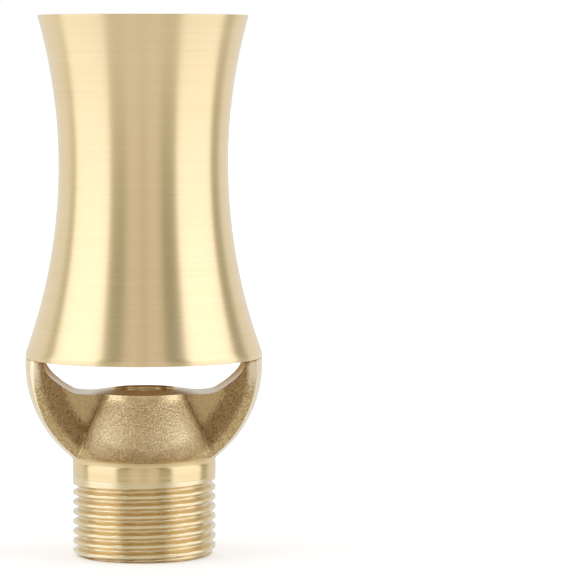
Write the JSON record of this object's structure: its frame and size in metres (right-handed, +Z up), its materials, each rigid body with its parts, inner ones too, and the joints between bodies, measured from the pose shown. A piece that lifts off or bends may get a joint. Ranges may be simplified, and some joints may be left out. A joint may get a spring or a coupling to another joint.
{
  "type": "fountain nozzle",
  "caption": "Air-entraining fountain jet nozzle: threaded inlet, two-arm yoke with a central jet bore, and a flared hourglass sleeve screwed on top.",
  "frame": {"origin": "centre of the inlet face, at the bottom", "axes": "+Z up the water axis to the flared rim, X through the two yoke arms, Y through the two open windows"},
  "size_m": [0.0438, 0.0436, 0.0999],
  "materials": {
    "cast_brass": "grainy as-cast yoke with turned inlet, collar and dish",
    "satin_brass": "satin turned, fine lines round the axis"
  },
  "bodies": {
    "nozzle_body": {"nozzle_body": "cast_brass"},
    "flared_sleeve": {"flared_sleeve": "satin_brass"}
  },
  "joints": [
    {"name": "sleeve_lift", "type": "slide", "parent": "nozzle_body", "child": "flared_sleeve", "axis": [0, 0, 1], "range_m": [0, 0.025]}
  ]
}
